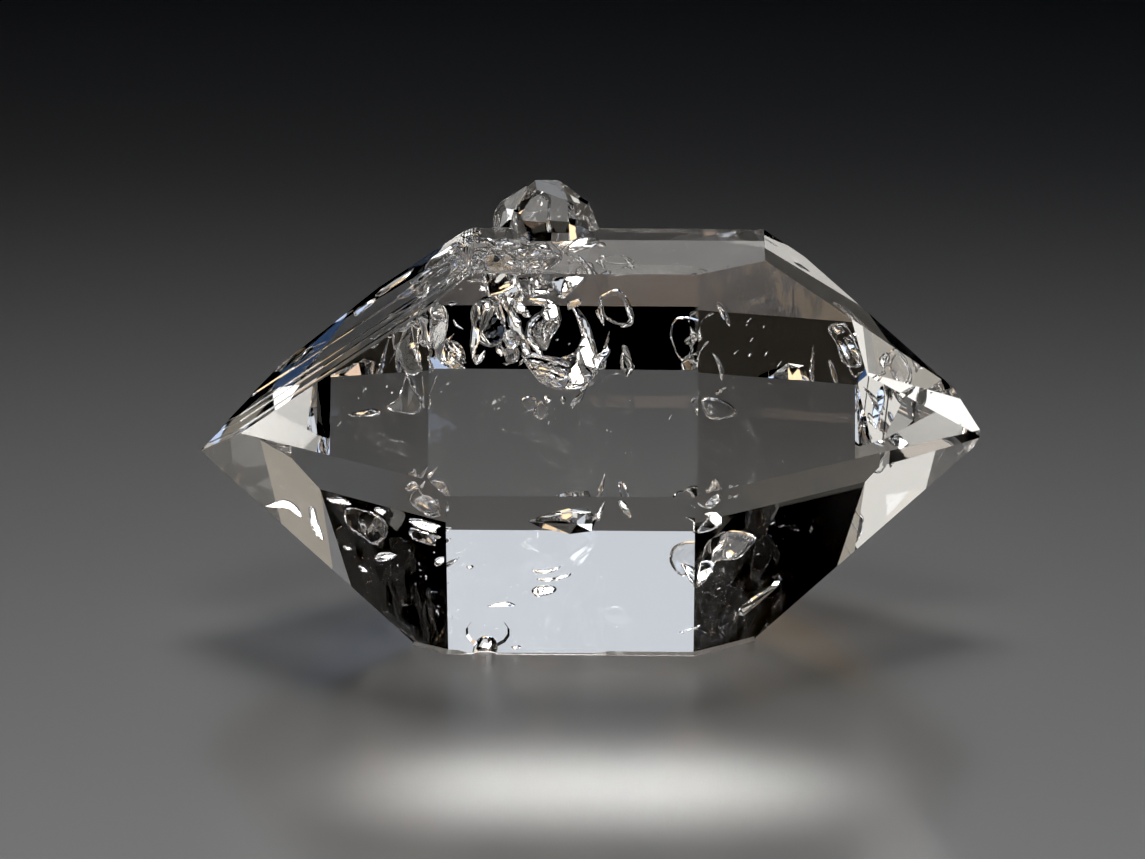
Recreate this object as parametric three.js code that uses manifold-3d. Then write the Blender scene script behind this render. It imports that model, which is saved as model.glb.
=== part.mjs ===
// A clear quartz crystal of the short, doubly terminated kind, lying on one of its long faces.
// Two much smaller crystals have grown into its top back edge, so that all three are one solid.
// Millimetres, +Z up. The long axis runs along X and the flat face that it rests on is at Z = 0.
import * as THREE from 'three';
import { ConvexGeometry } from 'three/addons/geometries/ConvexGeometry.js';
import { mergeVertices } from 'three/addons/utils/BufferGeometryUtils.js';
import Module from 'manifold-3d';

const wasm = await Module();
wasm.setup();

const { degToRad } = THREE.MathUtils;

// The crystal stands half its height above the surface that it rests on.
const HEIGHT = 12.58;
const AXIS = new THREE.Vector3(0, 0, HEIGHT / 2);

// Quartz has the same angle between an end face and the long axis on every crystal.
const END_FACE_LEAN = 38.21;
// One end face grew in many fine steps, which leaves it steeper than the others.
const STEPPED_FACE_LEAN = 26.25;

// Each sector holds one long face and the two end faces that it meets: the way that the long
// face looks, turned about X from +Y towards +Z, its distance from the axis, and where it ends
// on the left and on the right.
const SECTORS = {
  top: { turn: 90, distance: HEIGHT / 2, left: -3.89, right: 5.64 },
  frontUpper: { turn: 150, distance: 6.08, left: -5.05, right: 3.49 },
  frontLower: { turn: 210, distance: 6.14, left: -4.48, right: 3.42 },
  bottom: { turn: 270, distance: HEIGHT / 2, left: -5.59, right: 5.36 },
  backLower: { turn: 330, distance: 6.51, left: -5.79, right: 6.38 },
  backUpper: { turn: 30, distance: 5.71, left: -6.98, right: 6.98, leftLean: STEPPED_FACE_LEAN },
};

// The last layers of growth stop short of the edges of the top left end face, and leave ledges.
// Each layer gives its height over the one below it, and how far it stays from the face's
// front edge, from its top edge, from its back edge and from its front lower edge.
const LAYERS = [
  { rise: 0.045, front: 0.3, top: 0.02, back: 0.01, tip: 0.35 },
  { rise: 0.03, front: 0.95, top: 0.05, back: 0.015, tip: 1.0 },
  { rise: 0.025, front: 1.6, top: 0.09, back: 0.02, tip: 1.5 },
  { rise: 0.035, front: 2.5, top: 0.14, back: 0.04, tip: 2.6 },
];
// The highest layer stands this far over the face's mean level.
const LAYER_TOP = 0.05;
// A layer's other faces stay this far inside the crystal below it.
const LAYER_INSET = 0.25;

// The small crystals: a centre, and the faces that show, each by the way it looks round +Z
// from +X, its tilt up from level, and its distance from the centre.
const SMALL_CRYSTAL = {
  centre: [-0.95, 2.75, 12.9],
  faces: [
    { looks: -86, tilt: 14, distance: 1.52 },
    { looks: -27, tilt: 10.5, distance: 0.93 },
    { looks: -22, tilt: 68.7, distance: 1.13 },
    { looks: -5, tilt: 52, distance: 0.95 },
    { looks: -4, tilt: 23, distance: 1.0 },
    { looks: 38, tilt: 12, distance: 0.98 },
    { looks: 84, tilt: 20, distance: 0.57 },
    { looks: 126, tilt: 45, distance: 1.07 },
    { looks: 165, tilt: 27, distance: 1.39 },
    { looks: -167, tilt: 35.8, distance: 1.63 },
    { looks: -161, tilt: -14, distance: 1.55 },
    { looks: 90, tilt: -50, distance: 0.62 },
    { looks: 0, tilt: -90, distance: 0.9 },
  ],
};
const DARK_CRYSTAL = {
  centre: [-2.3, 3.4, 12.75],
  faces: [
    { looks: 186, tilt: 2, distance: 0.86 },
    { looks: 186, tilt: 36, distance: 0.79 },
    { looks: 170, tilt: 55, distance: 0.83 },
    { looks: -100, tilt: 16, distance: 0.4 },
    { looks: 25, tilt: 50, distance: 0.98 },
    { looks: 12, tilt: 0, distance: 0.9 },
    { looks: 84, tilt: 24, distance: 0.62 },
    { looks: 132, tilt: 6, distance: 0.78 },
    { looks: 90, tilt: -48, distance: 0.7 },
    { looks: 0, tilt: -90, distance: 0.9 },
  ],
};

// A flat shallow pit in the front lower face, and a shell-shaped chip at its foot, both by
// their distance along X and up the face from its bottom edge.
const PIT = { x: -3.2, up: 0.97, radius: 0.72, slope: 0.07, depth: 0.09, sides: 14 };
const CHIP = { x: -3.3, up: 0.12, size: [0.4, 0.34, 0.6], turn: 14, smoothness: 3 };

// Points closer together than this are one corner.
const WELD = 1e-4;
// Three faces whose normals span less than this don't meet in a point.
const FLAT = 1e-6;

function plane(normal, distance) {
  return { normal, distance };
}

function lookingAcross(turn) {
  const angle = degToRad(turn);
  return new THREE.Vector3(0, Math.cos(angle), Math.sin(angle));
}

// A face through the point where it crosses its own long face, leaning towards the axis.
function endFace(sector, side, lean = END_FACE_LEAN) {
  const across = lookingAcross(sector.turn);
  const along = side * Math.sin(degToRad(lean));
  const normal = across.clone().multiplyScalar(Math.cos(degToRad(lean))).setX(along);
  const start = across.multiplyScalar(sector.distance).add(AXIS);
  start.x = side < 0 ? sector.left : sector.right;
  return plane(normal, normal.dot(start));
}

function crystalFaces() {
  const faces = {};
  for (const [name, sector] of Object.entries(SECTORS)) {
    const across = lookingAcross(sector.turn);
    faces[name] = plane(across, sector.distance + across.dot(AXIS));
    faces[`${name}Left`] = endFace(sector, -1, sector.leftLean);
    faces[`${name}Right`] = endFace(sector, 1);
  }
  return faces;
}

function cornerOf(a, b, c) {
  const matrix = new THREE.Matrix3().set(
    a.normal.x, a.normal.y, a.normal.z,
    b.normal.x, b.normal.y, b.normal.z,
    c.normal.x, c.normal.y, c.normal.z,
  );
  if (Math.abs(matrix.determinant()) < FLAT) return null;
  return new THREE.Vector3(a.distance, b.distance, c.distance).applyMatrix3(matrix.invert());
}

// Every corner of the space inside all the faces: three faces meet there, and none cuts it off.
function cornersInside(faces) {
  const corners = [];
  for (let i = 0; i < faces.length; i += 1) {
    for (let j = i + 1; j < faces.length; j += 1) {
      for (let k = j + 1; k < faces.length; k += 1) {
        const corner = cornerOf(faces[i], faces[j], faces[k]);
        const inside = corner && faces.every((f) => f.normal.dot(corner) <= f.distance + WELD);
        const known = inside && corners.some((other) => other.distanceTo(corner) < WELD);
        if (inside && !known) corners.push(corner);
      }
    }
  }
  return corners;
}

function toSolid(geometry) {
  const bare = geometry.clone();
  bare.deleteAttribute('normal');
  bare.deleteAttribute('uv');
  const welded = mergeVertices(bare, WELD);
  const vertProperties = new Float32Array(welded.attributes.position.array);
  const triVerts = new Uint32Array(welded.index.array);
  return new wasm.Manifold(new wasm.Mesh({ numProp: 3, vertProperties, triVerts }));
}

function toGeometry(solid) {
  const mesh = solid.getMesh();
  const geometry = new THREE.BufferGeometry();
  geometry.setAttribute('position', new THREE.BufferAttribute(mesh.vertProperties, 3));
  geometry.setIndex(new THREE.BufferAttribute(mesh.triVerts, 1));
  geometry.computeVertexNormals();
  return geometry;
}

function solidWithin(faces) {
  return toSolid(new ConvexGeometry(cornersInside(faces)));
}

// The large crystal up to the lowest ledge of its top left face, then one layer upon the next.
function largeCrystal() {
  const faces = crystalFaces();
  let level = LAYER_TOP - LAYERS.reduce((sum, layer) => sum + layer.rise, 0);
  const full = faces.topLeft.distance;
  const base = { ...faces, topLeft: plane(faces.topLeft.normal, full + level) };
  let crystal = solidWithin(Object.values(base));
  for (const layer of LAYERS) {
    level += layer.rise;
    const inset = {
      topLeft: -level,
      frontUpper: layer.front,
      top: layer.top,
      backUpperLeft: layer.back,
      backUpper: layer.back,
      frontUpperLeft: layer.tip,
      frontLowerLeft: layer.tip,
    };
    const reach = Object.entries(faces).map(([name, face]) =>
      plane(face.normal, face.distance - (inset[name] ?? LAYER_INSET)));
    crystal = crystal.add(solidWithin(reach));
  }
  return crystal;
}

function smallCrystal({ centre, faces }) {
  const middle = new THREE.Vector3(...centre);
  return solidWithin(faces.map(({ looks, tilt, distance }) => {
    const level = Math.cos(degToRad(tilt));
    const normal = new THREE.Vector3(
      level * Math.cos(degToRad(looks)),
      level * Math.sin(degToRad(looks)),
      Math.sin(degToRad(tilt)),
    );
    return plane(normal, distance + normal.dot(middle));
  }));
}

// A place on the front lower face, by X and by the distance up the face from its bottom edge.
function onFrontLowerFace(x, up) {
  const faces = crystalFaces();
  const level = plane(new THREE.Vector3(1, 0, 0), x);
  const foot = cornerOf(faces.frontLower, faces.bottom, level);
  const uphill = lookingAcross(SECTORS.frontLower.turn - 90);
  return foot.addScaledVector(uphill, up);
}

function pit() {
  const { radius, slope, depth, sides } = PIT;
  const shape = new THREE.CylinderGeometry(radius + slope, radius - slope, depth * 2, sides);
  const outwards = lookingAcross(SECTORS.frontLower.turn);
  shape.applyQuaternion(new THREE.Quaternion().setFromUnitVectors(new THREE.Vector3(0, 1, 0), outwards));
  shape.translate(...onFrontLowerFace(PIT.x, PIT.up).toArray());
  return toSolid(shape);
}

function chip() {
  const shape = new THREE.IcosahedronGeometry(1, CHIP.smoothness);
  shape.scale(...CHIP.size);
  shape.rotateY(degToRad(CHIP.turn));
  shape.translate(...onFrontLowerFace(CHIP.x, CHIP.up).toArray());
  return toSolid(shape);
}

const quartz = new THREE.MeshStandardMaterial({
  color: 0xe9ebea,
  roughness: 0.03,
  metalness: 0,
  transparent: true,
  opacity: 0.45,
  flatShading: true,
});

const grown = largeCrystal()
  .add(smallCrystal(SMALL_CRYSTAL))
  .add(smallCrystal(DARK_CRYSTAL))
  .subtract(pit())
  .subtract(chip());

const crystal = new THREE.Mesh(toGeometry(grown), quartz);
crystal.name = 'quartz_crystal';

const part = new THREE.Group();
part.add(crystal);

export default part;
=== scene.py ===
import math
import random

import bmesh
import bpy
from mathutils import Matrix, Vector, noise
from mathutils.bvhtree import BVHTree
from mathutils.geometry import delaunay_2d_cdt, intersect_point_line


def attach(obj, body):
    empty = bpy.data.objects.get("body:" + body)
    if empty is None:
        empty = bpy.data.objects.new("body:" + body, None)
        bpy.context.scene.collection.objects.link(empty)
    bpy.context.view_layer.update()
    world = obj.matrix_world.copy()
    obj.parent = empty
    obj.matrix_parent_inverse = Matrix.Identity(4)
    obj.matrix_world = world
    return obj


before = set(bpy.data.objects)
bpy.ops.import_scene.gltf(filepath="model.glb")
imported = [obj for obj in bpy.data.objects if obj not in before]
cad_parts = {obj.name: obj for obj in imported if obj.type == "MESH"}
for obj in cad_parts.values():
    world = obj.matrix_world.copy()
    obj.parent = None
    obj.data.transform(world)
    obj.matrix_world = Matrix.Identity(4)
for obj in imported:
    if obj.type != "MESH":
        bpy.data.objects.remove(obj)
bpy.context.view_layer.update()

# The clear crystal: one growth of quartz, with two small crystals grown into its top back edge.
# Quartz is colourless silica; its natural faces are as smooth as polished glass, so they show
# sharp reflections, and what lies behind is seen through them, bent by an index of 1.544.
MM = 0.001
QUARTZ_INDEX = 1.544


def linear(colour):
    """The linear values of an sRGB colour that is written as six hex digits."""
    parts = [int(colour[i:i + 2], 16) / 255 for i in (0, 2, 4)]
    return tuple(p / 12.92 if p <= 0.04045 else ((p + 0.055) / 1.055) ** 2.4 for p in parts)


def add_node(material, kind, settings=None, links=None):
    """Adds a node with socket values and links given by socket name, and returns it."""
    node = material.node_tree.nodes.new(kind)
    for name, value in (settings or {}).items():
        if name in node.inputs:
            node.inputs[name].default_value = value
        else:
            setattr(node, name, value)
    for name, source in (links or {}).items():
        material.node_tree.links.new(source, node.inputs[name])
    return node


def new_material(name):
    material = bpy.data.materials.new(name)
    material.use_nodes = True
    material.node_tree.nodes.clear()
    return material


def finish_material(material, shader):
    output = add_node(material, "ShaderNodeOutputMaterial")
    material.node_tree.links.new(shader.outputs[0], output.inputs["Surface"])
    return material


def clear_quartz():
    material = new_material("clear_quartz")
    shader = add_node(material, "ShaderNodeBsdfPrincipled", {
        "Base Color": (*linear("FDFDFC"), 1),
        "Roughness": 0.0,
        "IOR": QUARTZ_INDEX,
        "Transmission Weight": 1.0,
    })
    return finish_material(material, shader)


quartz = clear_quartz()
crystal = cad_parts["quartz_crystal"]
crystal.data.materials.clear()
crystal.data.materials.append(quartz)

# The healed cracks under the upper left shoulder: thin films of air left where the crystal split
# as it grew and quartz then closed the rims. Each has its own outline, as seen through the face
# in front of it, and its skin looks into the hollow, so light that slants on to it turns back.
# In millimetres: a film's thickness, the band in which it closes, its mesh, and its ripples.
FILM = 0.014
FILM_CLOSES_OVER = 0.035
GRID = 0.085
CURVE_STEPS = 4
FILL_ROUNDS = 4
RIPPLE_SPACING = 0.17
RIPPLE_HEIGHT = 0.0014
HACKLE_HEIGHT = 0.015
HACKLES = 2.2
# The rings are drawn off their circles by a slow noise, and each hackle fades along its ray.
DRIFT_PER_MM = 1.5
DRIFT = 4
HACKLE_FADE = 0.3
HACKLE_SEED = 7
# The point where a crack began lies on its lower rim, a little right of the middle.
SOURCE_SHIFT = 0.1
# The way back to the eye inside the quartz, as azimuth and elevation, by the face looked through.
SIGHT = {
    "upper front": (180, 20),
    "upper left": (-165, 19),
    "upper right": (165, 19),
    "lower front": (180, -2),
    "lower left": (-164, -1),
    "lower right": (163, -1),
    "top": (180, 51),
    "left end": (-148, 42),
    "right end": (148, 42),
}


def air_in_quartz(name):
    """The step from quartz to air, as smooth as the crystal's own faces: it glints like foil."""
    material = new_material(name)
    shader = add_node(material, "ShaderNodeBsdfPrincipled", {
        "Base Color": (*linear("FFFFFF"), 1),
        "Roughness": 0.0,
        "IOR": QUARTZ_INDEX,
        "Transmission Weight": 1.0,
    })
    return finish_material(material, shader)


def facing(azimuth, elevation, turn=0):
    """The turn that takes +Z to a direction, with the sheet then turned in its own plane."""
    lean = Matrix.Rotation(math.radians(90 - elevation), 3, "X")
    swing = Matrix.Rotation(math.radians(180 - azimuth), 3, "Z")
    return swing @ lean @ Matrix.Rotation(math.radians(turn), 3, "Z")


def smooth_loop(points):
    """A closed curve through a few points."""
    loop = []
    for place in range(len(points)):
        around = [points[(place + step) % len(points)] for step in (-1, 0, 1, 2)]
        before, here, after, beyond = [Vector(point) for point in around]
        for step in range(CURVE_STEPS):
            t = step / CURVE_STEPS
            bend = (2 * before - 5 * here + 4 * after - beyond) * t * t
            twist = (3 * here - before - 3 * after + beyond) * t ** 3
            loop.append(here + 0.5 * ((after - before) * t + bend + twist))
    return loop


def into_plane(outline, seen, place):
    """Slides an outline, drawn across the line of sight, along that line on to the film's plane."""
    back = facing(*SIGHT[seen]).col[2]
    right = Vector((0, 0, 1)).cross(back).normalized()
    up = back.cross(right)
    across, along, normal = place.col
    points = []
    for x, y in outline:
        point = right * x + up * y
        point -= back * (point.dot(normal) / back.dot(normal))
        points.append(Vector((point.dot(across), point.dot(along))))
    return points


def to_rim(point, loop):
    """How far a point of the film lies from its rim."""
    best = math.inf
    for start, end in zip(loop, loop[1:] + loop[:1]):
        near, part = intersect_point_line(point, start, end)
        best = min(best, (point - (near if 0 < part < 1 else start)).length)
    return best


def fill(loop, inner):
    """Triangles between a rim and the points inside it, with none that has only rim points."""
    count = len(loop)
    for _ in range(FILL_ROUNDS):
        points, edges, triangles, *_ = delaunay_2d_cdt(loop + inner, [], [list(range(count))], 1, 1e-6)
        chords = [edge for edge in edges if max(edge) < count]
        chords = [edge for edge in chords if max(edge) - min(edge) not in (1, count - 1)]
        if not chords:
            break
        inner = inner + [(loop[start] + loop[end]) / 2 for start, end in chords]
    return points, [triangle for triangle in triangles if max(triangle) >= count]


def film_level(point, bends, source, rough, seed):
    """The middle of the film: a bowl, with rings and rays round the point where it began."""
    u, v = point
    du, dv = point - source
    distance = math.hypot(du, dv)
    ray = math.atan2(dv, du)
    bowl = -u * u / (2 * bends[0]) - v * v / (2 * bends[1])
    drift = DRIFT * noise.noise(Vector((u * DRIFT_PER_MM, v * DRIFT_PER_MM, seed)))
    rings = RIPPLE_HEIGHT * math.sin(2 * math.pi * distance / RIPPLE_SPACING + drift)
    comb = noise.noise(Vector((ray * HACKLES, HACKLE_FADE * distance, seed + HACKLE_SEED)))
    rays = HACKLE_HEIGHT * distance * comb
    return bowl + rough * (rings + rays)


def add_film(mesh, at, outline, faces, bends, seen="upper front", rough=1.0, seed=0, straight=False):
    """Adds one closed film of air to a bmesh. Sizes are in millimetres, angles in degrees."""
    place = facing(*faces)
    loop = into_plane(outline if straight else smooth_loop(outline), seen, place)
    low = Vector((min(p.x for p in loop), min(p.y for p in loop)))
    high = Vector((max(p.x for p in loop), max(p.y for p in loop)))
    columns, rows = [int(extent / GRID) + 1 for extent in high - low]
    steps = [(column + row % 2 / 2, row) for column in range(columns) for row in range(rows)]
    inner = [low + Vector(step) * GRID for step in steps]
    inner = [point for point in inner if to_rim(point, loop) > GRID / 2]
    points, triangles = fill(loop, inner)
    source = Vector(((low.x + high.x) / 2 + SOURCE_SHIFT, low.y))
    middles = []
    halves = []
    for point in points:
        near = min(to_rim(point, loop) / FILM_CLOSES_OVER, 1)
        middles.append(Vector((*point, film_level(point, bends, source, rough, seed))))
        halves.append(FILM / 2 * math.sqrt(1 - (1 - near) ** 2))
    skins = []
    for side in (1, -1):
        skin = []
        for number, (middle, half) in enumerate(zip(middles, halves)):
            if side < 0 and number < len(loop):
                skin.append(skins[0][number])
                continue
            level = middle + Vector((0, 0, side * half))
            skin.append(mesh.verts.new((Vector(at) + place @ level) * MM))
        skins.append(skin)
    for triangle in triangles:
        mesh.faces.new([skins[0][corner] for corner in reversed(triangle)])
        mesh.faces.new([skins[1][corner] for corner in triangle])


def finish_hollow(name, mesh, smooth=True):
    data = bpy.data.meshes.new(name)
    mesh.to_mesh(data)
    mesh.free()
    data.materials.append(air_film)
    data.polygons.foreach_set("use_smooth", [smooth] * len(data.polygons))
    piece = bpy.data.objects.new(name, data)
    bpy.context.scene.collection.objects.link(piece)
    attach(piece, "root")
    return piece


def add_cracks(name, cracks, seed, seen):
    """Adds one piece of many films; seen is the face that most of them are looked at through."""
    mesh = bmesh.new()
    for number, crack in enumerate(cracks):
        add_film(mesh, seed=seed + number, **{"seen": seen, **crack})
    return finish_hollow(name, mesh)


SHOULDER_CRACKS = [
    # The white blade at the right of the group, with a hook at its foot and a long point above.
    dict(at=(-0.22, -0.31, 8.46), faces=(180, 77), bends=(18, 42), rough=0.25,
         outline=[(-0.15, 0.6), (0.05, 0.9), (0.3, 0.8), (0.4, 0.3), (0.6, -0.05), (0.5, -0.4),
                  (0.25, -0.7), (-0.1, -0.9), (-0.6, -0.9), (-0.4, -0.65), (-0.5, -0.45),
                  (-0.25, -0.05), (-0.25, 0.25)]),
    dict(at=(-0.28, -1.05, 7.57), faces=(178, 76), bends=(12, 24), rough=0.3,
         outline=[(-0.05, 0.3), (0.3, 0.4), (0.15, 0.05), (0.05, -0.2), (-0.3, -0.4), (-0.2, -0.15),
                  (0, 0.05)]),
    dict(at=(-0.24, 0.55, 9.56), faces=(176, 71), bends=(7, 21), rough=0.5,
         outline=[(-0.35, 0.55), (-0.15, 0.3), (0.1, 0), (0.35, -0.4), (0.35, -0.55), (0.05, -0.55),
                  (-0.1, -0.15), (-0.25, 0.25)]),
    dict(at=(-0.04, -0.37, 9.54), faces=(150, 85), bends=(15, 21), rough=0.4,
         outline=[(-0.35, 0.85), (0, 0.3), (0.2, -0.25), (0.35, -0.85), (0.15, -0.65),
                  (-0.05, -0.15), (-0.25, 0.35)]),
    dict(at=(0.39, -0.43, 8.66), faces=(170, 70), bends=(5, 5), rough=1.0,
         outline=[(-0.3, -0.05), (-0.05, 0.15), (0.2, 0.4), (0.3, 0.15), (0.05, -0.2),
                  (-0.15, -0.4)]),
    # The tall leaf: a white cap, two pale limbs and a dull middle.
    dict(at=(-1.26, 1.25, 9.6), faces=(180, 77), bends=(15, 18), rough=0.3,
         outline=[(-0.3, 0.1), (-0.05, 0.3), (0.25, 0.25), (0.3, -0.05), (0.15, -0.25),
                  (-0.1, -0.3), (-0.25, -0.15)]),
    dict(at=(-1.78, 0.82, 9.05), faces=(155, 84), bends=(18, 24), rough=0.6,
         outline=[(0.2, 0.75), (-0.05, 0.55), (-0.25, 0.25), (-0.3, -0.15), (-0.1, -0.45),
                  (0.25, -0.75), (0.3, -0.6), (0.05, -0.3), (-0.1, 0), (0, 0.3), (0.2, 0.55)]),
    dict(at=(-1.1, 1.15, 9.23), faces=(-160, 80), bends=(15, 24), rough=0.5,
         outline=[(0.1, 0.5), (0.2, 0.2), (0.1, -0.15), (-0.15, -0.5), (-0.2, -0.35), (-0.1, -0.05),
                  (0, 0.25)]),
    dict(at=(-1.48, 1.26, 8.82), faces=(-135, 28), bends=(6, 9), rough=1.6,
         outline=[(0, 0.55), (0.35, 0.5), (0.3, 0.05), (0.05, -0.55), (-0.3, -0.15),
                  (-0.35, 0.25)]),
    dict(at=(-1.4, 0.73, 9.09), faces=(172, 70), bends=(5, 12), rough=0.8,
         outline=[(-0.05, 0.35), (0.15, 0.35), (0.1, -0.05), (-0.05, -0.35), (-0.15, -0.05)]),
    # The white bead and the grey one below it.
    dict(at=(-2.51, 0.8, 8.81), faces=(180, 78), bends=(11, 11), rough=0.2,
         outline=[(-0.3, 0.05), (-0.3, 0.25), (-0.1, 0.35), (0.1, 0.35), (0.25, 0.2), (0.3, -0.05),
                  (0.2, -0.25), (0, -0.35), (-0.15, -0.25)]),
    dict(at=(-2.5, 0.73, 8.29), faces=(-132, 26), bends=(5, 5), rough=0.6,
         outline=[(-0.25, 0.1), (-0.1, 0.3), (0.15, 0.25), (0.25, 0.05), (0.2, -0.2), (0, -0.3),
                  (-0.2, -0.2)]),
    dict(at=(-2.86, 0.54, 8.56), faces=(-168, 72), bends=(5, 6), rough=0.4,
         outline=[(-0.14, 0.12), (0.04, 0.24), (0.14, 0.02), (0.06, -0.24), (-0.12, -0.12)]),
    # The wide bowl with a double band over it.
    dict(at=(-1.4, -0.09, 8.45), faces=(160, 84), bends=(27, 12), rough=0.5,
         outline=[(-0.8, 0.2), (-0.5, 0.25), (0, 0.1), (0.4, 0.05), (0.8, -0.1), (0.75, -0.25),
                  (0.35, -0.15), (0, -0.05), (-0.45, 0.05), (-0.7, 0)]),
    dict(at=(-1.42, -0.02, 8.18), faces=(178, 75), bends=(27, 9), rough=0.5,
         outline=[(-0.7, 0.25), (-0.3, 0.2), (0.2, 0.05), (0.7, -0.1), (0.65, -0.25), (0.15, -0.1),
                  (-0.35, 0), (-0.65, 0.1)]),
    dict(at=(-1.33, -0.06, 7.9), faces=(-172, 62), bends=(5, 5), rough=1.8,
         outline=[(-0.75, 0.45), (-0.3, 0.35), (0.25, 0.2), (0.7, -0.05), (0.55, -0.45),
                  (0.15, -0.45), (-0.2, -0.3), (-0.5, 0.05)]),
    dict(at=(-1.69, -0.22, 8.03), faces=(172, 74), bends=(9, 24), rough=0.4,
         outline=[(-0.4, 0.45), (-0.2, 0.05), (0.1, -0.3), (0.4, -0.45), (0.1, -0.25),
                  (-0.25, 0.2)]),
    dict(at=(-1.12, -0.49, 7.76), faces=(176, 72), bends=(5, 5), rough=2.0,
         outline=[(-0.3, 0.15), (0.05, 0.05), (0.3, -0.15), (-0.05, -0.15)]),
    # The slanting pale band from the top edge to the ball.
    dict(at=(-2.81, 1.62, 9.84), faces=(150, 85), bends=(18, 24), rough=0.6,
         outline=[(-0.65, 0.8), (-0.4, 0.8), (0.05, 0.15), (0.45, -0.35), (0.65, -0.65),
                  (0.45, -0.8), (0.15, -0.35), (-0.25, 0.15)]),
    dict(at=(-2.28, 0.98, 8.94), faces=(-158, 82), bends=(15, 24), rough=0.7,
         outline=[(-0.4, 0.6), (-0.1, 0.65), (0.15, 0.1), (0.4, -0.55), (0.2, -0.65),
                  (-0.05, -0.15), (-0.3, 0.2)]),
    dict(at=(-2.92, 1.92, 9.98), faces=(178, 74), bends=(9, 18), rough=0.5,
         outline=[(-0.35, 0.4), (-0.1, 0.35), (0.35, -0.3), (0.2, -0.4), (-0.2, -0.05)]),
    # The dull round disc and the thin leaves to the left of the ball.
    dict(at=(-3.3, 1.67, 9.14), faces=(-122, 36), bends=(12, 12), rough=2.2,
         outline=[(-0.4, 0.65), (0, 0.85), (0.35, 0.65), (0.55, 0.15), (0.55, -0.45), (0.3, -0.8),
                  (-0.05, -0.85), (-0.4, -0.6), (-0.55, -0.05), (-0.55, 0.4)]),
    dict(at=(-3.69, 1, 8.76), faces=(155, 84), bends=(18, 27), rough=0.5,
         outline=[(-0.05, 0.65), (0.15, 0.4), (0.15, -0.05), (0.05, -0.4), (-0.05, -0.65),
                  (-0.15, -0.25), (-0.15, 0.25)]),
    dict(at=(-3.55, 0.49, 8.28), faces=(179, 76), bends=(9, 9), rough=0.5,
         outline=[(-0.22, 0.06), (0, 0.1), (0.16, 0.24), (0.22, 0.16), (0.1, -0.14),
                  (-0.1, -0.24)]),
    dict(at=(-3.28, 1.73, 9.64), faces=(176, 72), bends=(5, 5), rough=1.0,
         outline=[(-0.16, 0.08), (0.04, 0.18), (0.16, -0.02), (0.04, -0.18), (-0.16, -0.12)]),
    dict(at=(-4.82, 0.32, 9.17), faces=(118, -24), bends=(18, 24), rough=1.0,
         outline=[(0, 0.95), (0.2, 0.75), (0.25, 0.15), (0.15, -0.55), (0.05, -0.95),
                  (-0.15, -0.55), (-0.25, 0.05), (-0.2, 0.6)]),
    dict(at=(-4.66, 0.29, 9.5), faces=(178, 76), bends=(9, 24), rough=0.3,
         outline=[(-0.1, 0.65), (0.1, 0.4), (0.1, -0.15), (0, -0.65), (0.05, -0.15), (0, 0.35)]),
    dict(at=(-4.27, 0.21, 8.57), faces=(180, 76), bends=(6, 9), rough=0.4,
         outline=[(-0.15, 0.3), (0, 0.2), (0.15, 0), (0.1, -0.3), (-0.05, -0.1)]),
    dict(at=(-4.23, 0.85, 9.3), faces=(-170, 70), bends=(5, 5), rough=0.8,
         outline=[(-0.16, 0.16), (0.12, -0.1), (0.16, -0.16), (-0.1, -0.06)]),
    # Facets and splinters higher up, in front of the brown band.
    dict(at=(-0.72, 2.23, 10.12), faces=(-150, 85), bends=(15, 18), rough=1.4,
         outline=[(-0.55, 0.35), (0.55, 0.35), (0.25, -0.05), (-0.15, -0.35), (-0.35, -0.1)]),
    dict(at=(-0.54, 1.85, 10.25), faces=(178, 74), bends=(6, 15), rough=1.2,
         outline=[(-0.25, 0.35), (0.4, 0.35), (-0.05, -0.1), (-0.4, -0.35)]),
    dict(at=(-1.59, 1.87, 10.08), faces=(180, 78), bends=(15, 9), rough=0.3,
         outline=[(-0.3, 0.05), (0, 0.1), (0.3, 0.05), (0.3, -0.05), (-0.25, -0.1)]),
    dict(at=(-2.59, 1.98, 10.08), faces=(150, 85), bends=(12, 12), rough=1.0,
         outline=[(-0.3, 0.4), (0.15, 0.3), (0.3, 0), (0, -0.4), (-0.2, -0.1)]),
    dict(at=(-2.06, 2.23, 10.12), faces=(-125, 30), bends=(12, 12), rough=1.4,
         outline=[(-0.3, 0.3), (0.1, 0.25), (0.3, -0.1), (-0.05, -0.3), (-0.25, -0.05)]),
    dict(at=(-1.79, 1.84, 10.42), faces=(176, 74), bends=(6, 6), rough=0.6,
         outline=[(-0.22, 0.18), (0.12, 0.14), (0.22, -0.14), (-0.02, -0.18)]),
    dict(at=(-1.4, 2.1, 10.28), faces=(-95, 20), bends=(12, 12), rough=0.4,
         outline=[(-0.18, 0.2), (0.14, 0.2), (0.18, -0.2), (-0.04, -0.14)]),
    dict(at=(-2.31, 1.55, 9.73), faces=(179, 76), bends=(6, 6), rough=1.0,
         outline=[(-0.3, 0.25), (0.1, 0.1), (0.3, -0.15), (0, -0.25)]),
    dict(at=(-1.56, 1.9, 9.74), faces=(-160, 74), bends=(6, 6), rough=1.4,
         outline=[(-0.45, 0.15), (0.1, 0.1), (0.45, 0), (0.2, -0.15), (-0.3, -0.05)]),
    dict(at=(-3.46, 1.83, 10.22), faces=(179, 78), bends=(6, 6), rough=0.4,
         outline=[(-0.14, 0.1), (0.08, 0.06), (0.14, -0.06), (-0.08, -0.1)]),
    dict(at=(-2.08, 1.35, 9.58), faces=(-176, 74), bends=(5, 5), rough=0.6,
         outline=[(-0.2, 0.18), (0.04, 0.08), (0.2, -0.14), (-0.04, -0.18)]),
    # Two thin arches to the right of the blade.
    dict(at=(0.37, 0.34, 9.99), faces=(158, 84), bends=(9, 15), rough=0.5,
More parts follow.
